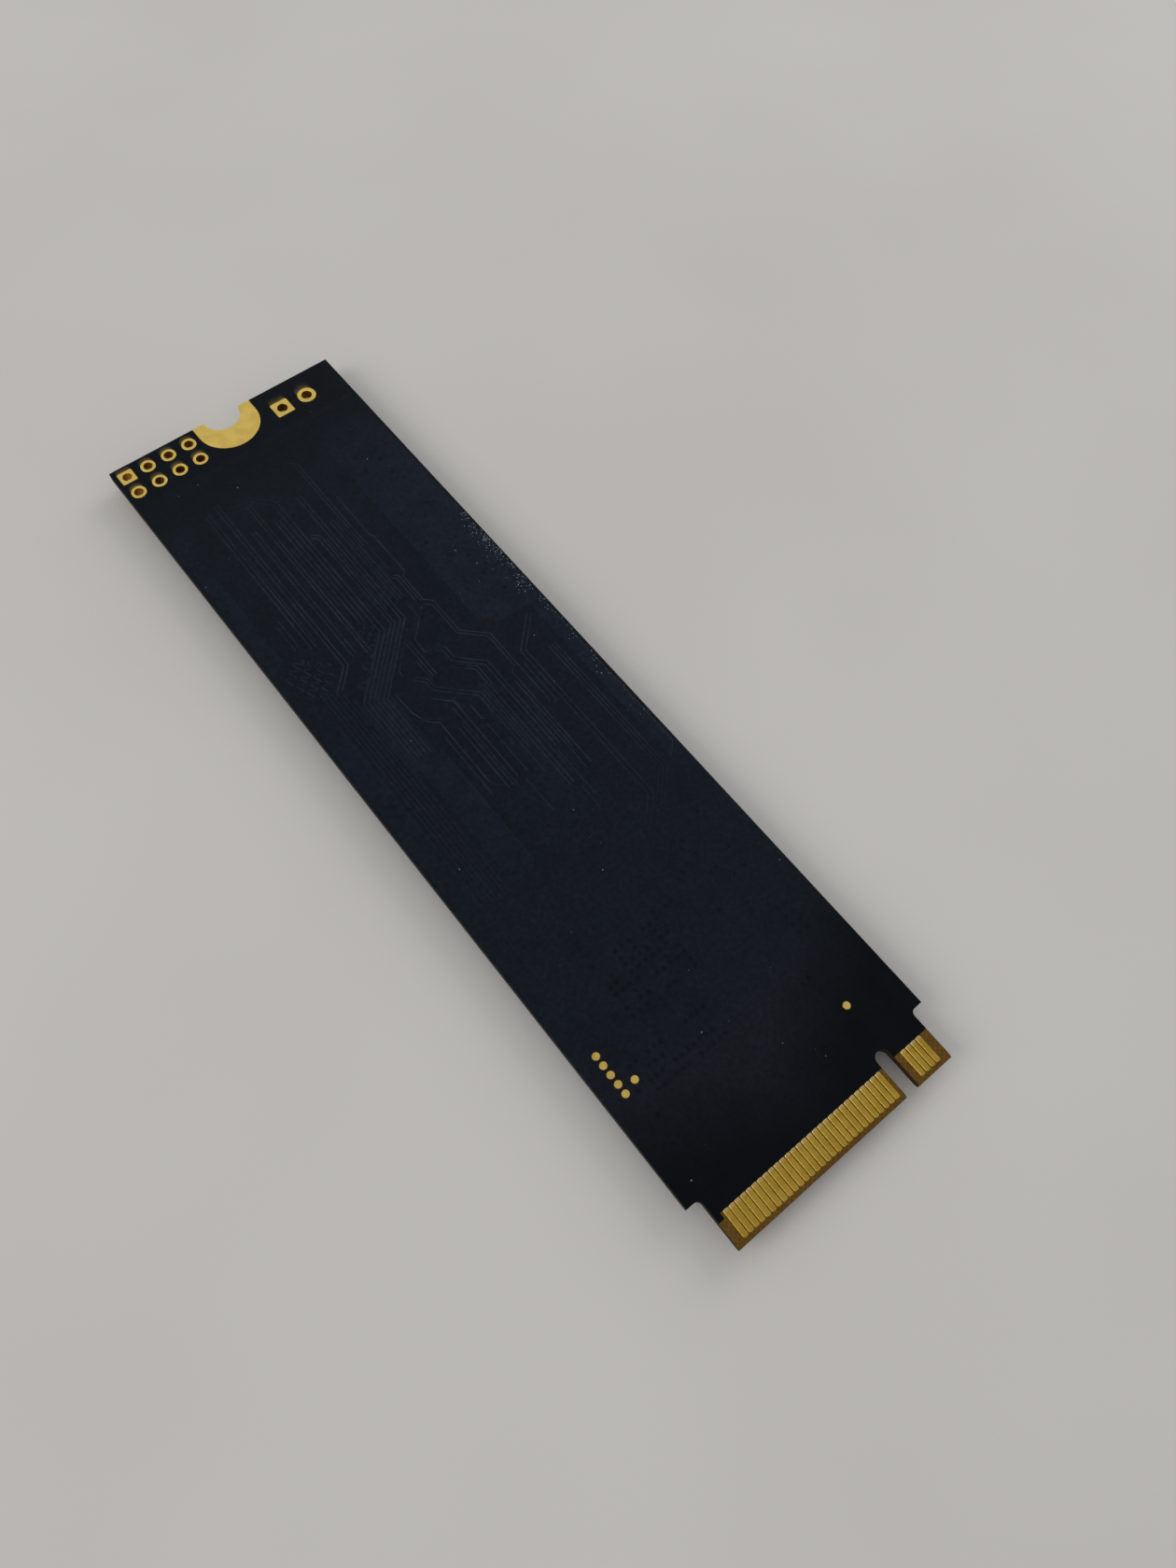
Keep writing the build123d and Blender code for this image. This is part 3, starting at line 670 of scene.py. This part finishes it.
def solids_of(node):
    """Lowest and highest corner of each separate solid of a CAD node, in order along the board."""
    shape = merged_copy(node)
    waiting = set(shape.verts)
    boxes = []
    while waiting:
        grown = [waiting.pop()]
        for vertex in grown:
            for edge in vertex.link_edges:
                other = edge.other_vert(vertex)
                if other in waiting:
                    waiting.remove(other)
                    grown.append(other)
        low = Vector([min(vertex.co[axis] for vertex in grown) for axis in range(3)])
        high = Vector([max(vertex.co[axis] for vertex in grown) for axis in range(3)])
        boxes.append((low, high))
    shape.free()
    return sorted(boxes, key=lambda box: (round(box[0].y, 6), round(box[0].x, 6), box[0].z))


def block(size):
    """Box of a size about the origin."""
    shape = bmesh.new()
    bmesh.ops.create_cube(shape, size=1.0, matrix=Matrix.Diagonal((*size, 1)))
    return shape


for name, node, outward in (("finger_row_back", "edge_contacts_back", 1),
                            ("finger_row_front", "edge_contacts_front", -1)):
    boxes = solids_of(node)
    finger = block(boxes[0][1] - boxes[0][0])
    upright = [edge for edge in finger.edges if abs(edge.verts[0].co.z - edge.verts[1].co.z) > off_middle]
    rounded(finger, upright, finger_end_round, 5)
    rim = [edge for edge in finger.edges if all(vertex.co.z * outward > off_middle for vertex in edge.verts)]
    rounded(finger, rim, finger_edge_round, 3)
    for vertex in finger.verts:
        if vertex.co.z * outward < -off_middle:
            vertex.co.x *= foot_share
    fingers = make_piece(name, repeated(finger, [(low + high) / 2 for low, high in boxes]), gold_plate)
    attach(fingers, "root")
    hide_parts(node)


# Mounting ring: a gold land round the screw notch on each face, joined by plating on the notch's wall.
# The head of the retaining screw presses on it and earths the board.
ring_edge_round = 0.016 * mm
notch_radius = 1.75 * mm
notch_steps = 40
plating = 0.016 * mm


def sharp_edges(shape):
    return [edge for edge in shape.edges if edge.calc_face_angle(0.0) > 0.5]


shape = merged_copy("mounting_ring")
outer_levels = (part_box("mounting_ring")[0][2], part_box("mounting_ring")[1][2])
rim = [edge for edge in sharp_edges(shape)
       if any(all(abs(vertex.co.z - level) < level_slack for vertex in edge.verts) for level in outer_levels)]
rounded(shape, rim, ring_edge_round, 2)
mounting_lands = make_piece("mounting_lands", shape, gold_plate)
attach(mounting_lands, "root")
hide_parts("mounting_ring")

low, high = outer_levels
wall = bmesh.new()
corners = [wall.verts.new((-radius, 0, level)) for radius, level in
           ((notch_radius - plating, low + plating), (notch_radius - plating, high - plating),
            (notch_radius, high - plating * 0.5), (notch_radius, low + plating * 0.5))]
start = wall.faces.new(corners)
bmesh.ops.spin(wall, geom=[start], axis=(0, 0, 1), angle=math.pi, steps=notch_steps)
bmesh.ops.translate(wall, verts=wall.verts, vec=(0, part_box("laminate")[1][1], 0))
bmesh.ops.recalc_face_normals(wall, faces=wall.faces)
notch_plating = make_piece("notch_plating", wall, gold_plate)
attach(notch_plating, "root")


# Plated holes: a 2 by 4 header field and a two-pin jumper, each hole a gold sleeve with a land on both faces.
# The first land of each group is square, with rounded corners.
# Copper runs on past each land's far side, and shines through thin mask there.
land_round = 0.016 * mm
land_loops = (0.30 * mm, 0.22 * mm, 0.14 * mm, 0.07 * mm)
land_steps = 44
corner_round = 0.14 * mm
corner_cuts = 24
thin_cell = 0.07 * mm
thin_side = 0.16 * mm
thin_level = film_level + 0.0015 * mm
row_slack = 0.1 * mm
bore_low, bore_high = outer_levels
land_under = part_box("laminate")[1][2]
land_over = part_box("laminate")[0][2]


def plated_hole(hole, sleeve, land, square):
    """Sleeve with lands, the lands trimmed to a square where one is asked for."""
    reach = land * 1.5 if square else land
    soft = land_round * 0.3
    profile = [(hole, bore_low + land_round), (hole, bore_high - land_round), (hole + soft, bore_high - soft),
               (hole + land_round, bore_high)]
    profile += [(reach - step, bore_high) for step in land_loops if reach - step > hole * 1.2]
    profile += [(reach - land_round, bore_high), (reach - soft, bore_high - soft),
                (reach, bore_high - land_round), (reach, land_under), (sleeve, land_under),
                (sleeve, land_over), (reach, land_over), (reach, bore_low + land_round),
                (reach - land_round, bore_low), (hole + land_round, bore_low)]
    shape = spun(profile, land_steps)
    if square:
        for number in range(corner_cuts):
            turn = 2 * math.pi * number / corner_cuts
            side = Vector((math.cos(turn), math.sin(turn), 0))
            out = (land - corner_round) * (abs(side.x) + abs(side.y)) + corner_round
            everything = shape.verts[:] + shape.edges[:] + shape.faces[:]
            cut = bmesh.ops.bisect_plane(shape, geom=everything, dist=weld, plane_co=side * out,
                                         plane_no=side, clear_outer=True)
            rims = [item for item in cut["geom_cut"] if isinstance(item, bmesh.types.BMEdge)]
            bmesh.ops.holes_fill(shape, edges=rims, sides=0)
    # The bore's wall is marked for painted shade.
    layer = shape.verts.layers.float.new("barrel_shade")
    for vertex in shape.verts:
        vertex[layer] = 1.0 if vertex.co.xy.length < hole + land_round * 0.5 else 0.0
    return shape


def thin_mask(land, square, reach, falloff):
    """Patch of mask past a land's far side, with an attribute that says how far copper shines through."""
    shape = bmesh.new()
    cells = int((land + reach) / thin_cell)
    bmesh.ops.create_grid(shape, x_segments=2 * cells, y_segments=cells, size=0.5)
    bmesh.ops.scale(shape, vec=(2 * land, land + reach, 1), verts=shape.verts)
    bmesh.ops.translate(shape, verts=shape.verts, vec=(0, (land + reach) / 2, thin_level))
    layer = shape.verts.layers.float.new("thin")
    for vertex in shape.verts:
        x, y = vertex.co.xy
        rim = land if square else math.sqrt(max(land ** 2 - x ** 2, 0))
        left_over = 1 - part_way(y, rim, rim + reach)
        vertex[layer] = left_over ** falloff * part_way(land - abs(x), 0, thin_side)
    inside = []
    for face in shape.faces:
        middle = face.calc_center_median()
        out = max(abs(middle.x), middle.y) if square else middle.xy.length
        if out < land - thin_cell:
            inside.append(face)
    bmesh.ops.delete(shape, geom=inside, context="FACES")
    return shape


for name, node, hole, sleeve, land, square_half, reach, falloff in (
        ("header_holes", "header_sleeves", 0.40 * mm, 0.44 * mm, 0.65 * mm, 0.675 * mm, 0.56 * mm, 1.6),
        ("jumper_holes", "jumper_sleeves", 0.47 * mm, 0.51 * mm, 0.83 * mm, 0.83 * mm, 1.0 * mm, 3.0)):
    middles = [(low + high) / 2 for low, high in solids_of(node)]
    top_row = max(middle.y for middle in middles)
    first = min((middle for middle in middles if middle.y > top_row - row_slack), key=lambda middle: middle.x)
    rounds = [(middle.x, middle.y, 0) for middle in middles if middle is not first]
    squares = [(first.x, first.y, 0)]
    shape = repeated(plated_hole(hole, sleeve, land, False), rounds)
    shape = repeated(plated_hole(hole, sleeve, square_half, True), squares, shape)
    holes = make_piece(name, shape, gold_plate)
    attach(holes, "root")
    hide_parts(node)
    for form, half, square, spots in (("round", land, False, rounds), ("square", square_half, True, squares)):
        patches = repeated(thin_mask(half, square, reach, falloff), spots)
        haze = make_piece(name + "_" + form + "_haze", patches, solder_mask)
        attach(haze, "root")


# Test pads: round gold lands for the probes of the factory's tester, etched and plated with the contacts.
# Each is bonded to the laminate in a round opening of the mask.
pad_round = 0.014 * mm
pad_sides = 36
boxes = solids_of("test_pads")
pad_radius = (boxes[0][1].x - boxes[0][0].x) / 2
pad_depth = boxes[0][1].z - boxes[0][0].z
pad = bmesh.new()
bmesh.ops.create_cone(pad, cap_ends=True, segments=pad_sides, radius1=pad_radius, radius2=pad_radius,
                      depth=pad_depth)
rim = [edge for edge in pad.edges if all(vertex.co.z > 0 for vertex in edge.verts)]
rounded(pad, rim, pad_round, 2)
pads = make_piece("probe_pads", repeated(pad, [(low + high) / 2 for low, high in boxes]), gold_plate)
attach(pads, "root")
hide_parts("test_pads")


# Dust and lint: pale flakes that have settled on the bare side, and chips of mask along the worn edge.
# They are loose and thin, and only a few hundredths of a millimetre across.
dark_flake_colour = (0.035, 0.044, 0.062, 1)
pale_flake_colour = (0.31, 0.35, 0.42, 1)
flake_scale = 9000.0
flake_thickness = 0.012 * mm
flake_lift = 0.003 * mm
flake_ruffle = 0.2
board_edge = 11.0
above_board = 10 * mm
flake_places = [
    (-1.2, 15.8), (-4.3, 13.0), (2.3, 12.5), (3.5, 11.9), (5.6, 11.7), (7.6, 11.7), (9.3, 12.9), (8.0, 4.8),
    (-5.4, 3.0), (-6.9, -3.7), (7.4, 0.75), (0.7, -20.4), (4.3, -27.5), (7.5, 28.0), (-7.5, 26.2),
    (1.0, 32.3), (10.6, 25.5), (-10.5, 24.8), (-7.5, 34.3), (-5.6, 34.4), (0.4, -11.8), (0.8, -12.6),
    (3.6, -14.0), (-0.6, -28.5), (-0.6, -29.6), (2.8, -33.7), (-7.4, -33.7), (-9.8, 27.3), (6.6, 0.4),
]
scatter = random.Random(5)
for middle_y, spread, count in ((9.4, 1.6, 100), (14.4, 2.1, 200), (2.0, 4.5, 70)):
    for flake in range(count):
        from_edge = 0.12 + abs(scatter.gauss(0.30, 0.45))
        flake_places.append((board_edge - from_edge, scatter.gauss(middle_y, spread)))
for flake in range(12):
    flake_places.append((scatter.uniform(5.6, 9.6), scatter.uniform(8.5, 20.0)))
dust_flake, tree, shader, coordinates = new_material("dust_flake")
uneven = mottled(tree, coordinates["Object"], flake_scale)
surface(tree, shader, mixed(tree, uneven, dark_flake_colour, pale_flake_colour),
        ranged(tree, uneven, 0.0, 1.0, 0.7, 0.95))
shape = bmesh.new()
for x, y in flake_places:
    size = (0.011 + 0.028 * scatter.random() ** 2) * mm
    spin = Matrix.Rotation(scatter.uniform(0, math.pi), 4, "Z")
    form = Matrix.Diagonal((size * scatter.uniform(0.8, 2.4), size, flake_thickness, 1))
    made = bmesh.ops.create_icosphere(shape, subdivisions=1, radius=1.0, matrix=spin @ form)
    for vertex in made["verts"]:
        ruffle_x = scatter.uniform(-flake_ruffle, flake_ruffle) * size
        ruffle_y = scatter.uniform(-flake_ruffle, flake_ruffle) * size
        vertex.co += Vector((ruffle_x, ruffle_y, 0))
    spot = mask_surface.ray_cast(Vector((x * mm, y * mm, above_board)), Vector((0, 0, -1)))[0]
    bmesh.ops.translate(shape, verts=made["verts"], vec=spot + Vector((0, 0, flake_lift)))
flakes = make_piece("dust_flakes", shape, dust_flake)
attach(flakes, "root")


# Memory and controller packages: a black moulded cap on a laminate substrate, on rows of solder balls.
# They are soldered to the component side, and the module lies on their caps.
mould_colour = (0.014, 0.014, 0.015, 1)
mould_fleck_colour = (0.034, 0.034, 0.036, 1)
filler_scale = 14000.0
mould_gloss_scale = 9000.0
mould_specular = 0.35
mould_relief = 0.006 * mm
cap_round = 0.05 * mm
mould_compound, tree, shader, coordinates = new_material("mould_compound")
place = coordinates["Object"]
filler = grain(tree, place, filler_scale, detail=4.0, rough=0.7)
surface(tree, shader, mixed(tree, ranged(tree, filler, 0.45, 0.75), mould_colour, mould_fleck_colour),
        mottled(tree, place, mould_gloss_scale, low=0.54, high=0.66))
shader.inputs["Specular IOR Level"].default_value = mould_specular
bumped(tree, shader, filler, mould_relief)

substrate_colour = (0.010, 0.030, 0.016, 1)
substrate_edge_colour = (0.075, 0.066, 0.026, 1)
saw_scale = 6000.0
package_substrate, tree, shader, coordinates = new_material("package_substrate")
sawn = maths(tree, "MULTIPLY", ranged(tree, levelness(tree, coordinates), 0.3, 0.7, 1.0, 0.0),
             mottled(tree, coordinates["Object"], saw_scale, low=0.4))
surface(tree, shader, mixed(tree, sawn, substrate_colour, substrate_edge_colour),
        ranged(tree, sawn, 0.0, 1.0, 0.4, 0.6))

solder_colour = (0.66, 0.66, 0.67, 1)
dull_solder_colour = (0.42, 0.42, 0.44, 1)
frost_scale = 7000.0
frost_relief = 0.002 * mm
ball_sides = 12
solder, tree, shader, coordinates = new_material("solder")
frosted = mottled(tree, coordinates["Object"], frost_scale, detail=4.0)
surface(tree, shader, mixed(tree, frosted, dull_solder_colour, solder_colour),
        ranged(tree, frosted, 0.0, 1.0, 0.46, 0.28))
shader.inputs["Metallic"].default_value = 1.0
bumped(tree, shader, frosted, frost_relief)

for package in ("flash_1", "flash_2", "controller"):
    shape = merged_copy(package + "_mould_cap")
    rounded(shape, sharp_edges(shape), cap_round, 3)
    cap = make_piece(package + "_cap", shape, mould_compound)
    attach(cap, "root")
    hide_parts(package + "_mould_cap")

    nodes[package + "_substrate"].material_slots[0].material = package_substrate

    boxes = solids_of(package + "_solder_balls")
    girth = (boxes[0][1].x - boxes[0][0].x) / 2
    half = (boxes[0][1].z - boxes[0][0].z) / 2
    ball = spun([(0.0, -half), (girth * 0.62, -half), (girth * 0.88, -half * 0.6), (girth, 0.0),
                 (girth * 0.88, half * 0.6), (girth * 0.62, half), (0.0, half)], ball_sides)
    balls = make_piece(package + "_balls", repeated(ball, [(low + high) / 2 for low, high in boxes]), solder)
    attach(balls, "root")
    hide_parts(package + "_solder_balls")


# Power controller: a flat no-lead package, moulded round a copper frame and soldered on its lands.
# Its body is sawn from a moulded strip, so its sides are square and its edges barely broken.
power_cap_round = 0.03 * mm
shape = merged_copy("power_controller_body")
rounded(shape, sharp_edges(shape), power_cap_round, 2)
power_cap = make_piece("power_cap", shape, mould_compound)
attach(power_cap, "root")
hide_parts("power_controller_body")
nodes["power_controller_lands"].material_slots[0].material = solder


# Chip capacitors, resistors and inductors: fired ceramic or ferrite blocks with tinned end caps.
# They stand on the component side, where solder joins each end cap to the board.
dull_tin_colour = (0.50, 0.50, 0.51, 1)
bright_tin_colour = (0.76, 0.76, 0.76, 1)
tin_scale = 11000.0
tin_relief = 0.003 * mm
fired_scale = 8000.0
fired_relief = 0.004 * mm
tin_plate, tree, shader, coordinates = new_material("tin_plate")
crystals = mottled(tree, coordinates["Object"], tin_scale, detail=4.0)
surface(tree, shader, mixed(tree, crystals, dull_tin_colour, bright_tin_colour),
        ranged(tree, crystals, 0.0, 1.0, 0.44, 0.30))
shader.inputs["Metallic"].default_value = 1.0
bumped(tree, shader, crystals, tin_relief)

bodies = {}
for name, dark_colour, pale_colour, gloss in (
        ("capacitor_ceramic", (0.155, 0.085, 0.040, 1), (0.270, 0.170, 0.095, 1), 0.45),
        ("resistor_glaze", (0.010, 0.010, 0.011, 1), (0.026, 0.026, 0.028, 1), 0.30),
        ("ferrite", (0.035, 0.035, 0.038, 1), (0.090, 0.090, 0.092, 1), 0.60),
        ("package_ceramic", (0.060, 0.052, 0.050, 1), (0.110, 0.098, 0.094, 1), 0.55)):
    bodies[name], tree, shader, coordinates = new_material(name)
    fired = mottled(tree, coordinates["Object"], fired_scale, detail=4.0, rough=0.65)
    surface(tree, shader, mixed(tree, fired, dark_colour, pale_colour),
            ranged(tree, fired, 0.0, 1.0, gloss + 0.1, gloss))
    bumped(tree, shader, fired, fired_relief)

for chip, finish, body_round, cap_edge in (
        ("inductor", "ferrite", 0.08 * mm, 0.06 * mm),
        ("bulk_capacitor", "capacitor_ceramic", 0.06 * mm, 0.05 * mm),
        ("decoupling_capacitor", "capacitor_ceramic", 0.04 * mm, 0.035 * mm),
        ("coupling_capacitor", "capacitor_ceramic", 0.025 * mm, 0.02 * mm),
        ("resistor", "resistor_glaze", 0.02 * mm, 0.02 * mm)):
    for part, ending, material, slot, edge_round in (
            ("bodies", "blocks", bodies[finish], finish, body_round),
            ("terminals", "end_caps", tin_plate, "tin_plate", cap_edge)):
        node = chip + "_" + part
        shape = merged_copy(node)
        rounded(shape, sharp_edges(shape), edge_round, 2)
        piece = make_piece(chip + "_" + ending, shape, material)
        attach(piece, "root")
        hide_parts(node)


# Crystal: a quartz plate in a ceramic tray, closed by a thin metal lid that is seam-welded to it.
# It is soldered to the component side, and gives the controller its clock.
for node, name, material, slot, edge_round in (
        ("crystal_base", "crystal_tray", bodies["package_ceramic"], "package_ceramic", 0.05 * mm),
        ("crystal_lid", "crystal_cover", tin_plate, "tin_plate", 0.07 * mm)):
    shape = merged_copy(node)
    rounded(shape, sharp_edges(shape), edge_round, 3)
    piece = make_piece(name, shape, material)
    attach(piece, "root")
    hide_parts(node)


# Studio: a plain pale table top under soft boxes on both sides, in an evenly lit room.
# Sizes and places are in metres, and the lamps face the middle of the board.
table_colour = (0.56, 0.54, 0.51, 1)
table_pale_colour = (0.60, 0.58, 0.55, 1)
table_scale = 14.0
table_half = 1.5
room_colour = (0.97, 0.98, 1.0, 1)
room_strength = 0.55
box_side = 0.30
table_top, tree, shader, coordinates = new_material("table_top")
tone_factor = mottled(tree, coordinates["Object"], table_scale)
tree.links.new(mixed(tree, tone_factor, table_colour, table_pale_colour), shader.inputs["Base Color"])
shader.inputs["Roughness"].default_value = 0.75
shader.inputs["Specular IOR Level"].default_value = 0.2
shape = bmesh.new()
bmesh.ops.create_grid(shape, x_segments=1, y_segments=1, size=table_half)
mesh = bpy.data.meshes.new("table")
shape.to_mesh(mesh)
shape.free()
mesh.materials.append(table_top)
table = bpy.data.objects.new("table", mesh)
bpy.context.scene.collection.objects.link(table)

world = bpy.data.worlds.new("room")
world.use_nodes = True
background = world.node_tree.nodes["Background"]
background.inputs["Color"].default_value = room_colour
background.inputs["Strength"].default_value = room_strength
bpy.context.scene.world = world

for name, where, power in (("soft_box_left", (-0.42, 0.10, 0.30), 0.95),
                           ("soft_box_right", (0.44, 0.12, 0.24), 0.75)):
    lamp = bpy.data.lights.new(name, "AREA")
    lamp.size = box_side
    lamp.energy = power
    holder = bpy.data.objects.new(name, lamp)
    holder.location = where
    holder.rotation_euler = (-Vector(where)).to_track_quat("-Z", "Y").to_euler()
    bpy.context.scene.collection.objects.link(holder)


# Camera: above the contact end and to the left, at the angle and distance of the photograph.
# Its place and turn put the board's outline where the photograph has it.
camera_place = Vector((-21.463, -34.874, 79.580)) * mm
camera_turn = Euler([math.radians(angle) for angle in (24.946, -1.807, -38.816)])
lens = bpy.data.cameras.new("camera")
lens.sensor_width = 36.0
lens.lens = 25.78
lens.clip_start = 1 * mm
camera = bpy.data.objects.new("camera", lens)
camera.matrix_world = Matrix.LocRotScale(camera_place, camera_turn, None)
bpy.context.scene.collection.objects.link(camera)
bpy.context.scene.camera = camera
bpy.context.scene.view_settings.view_transform = "Standard"
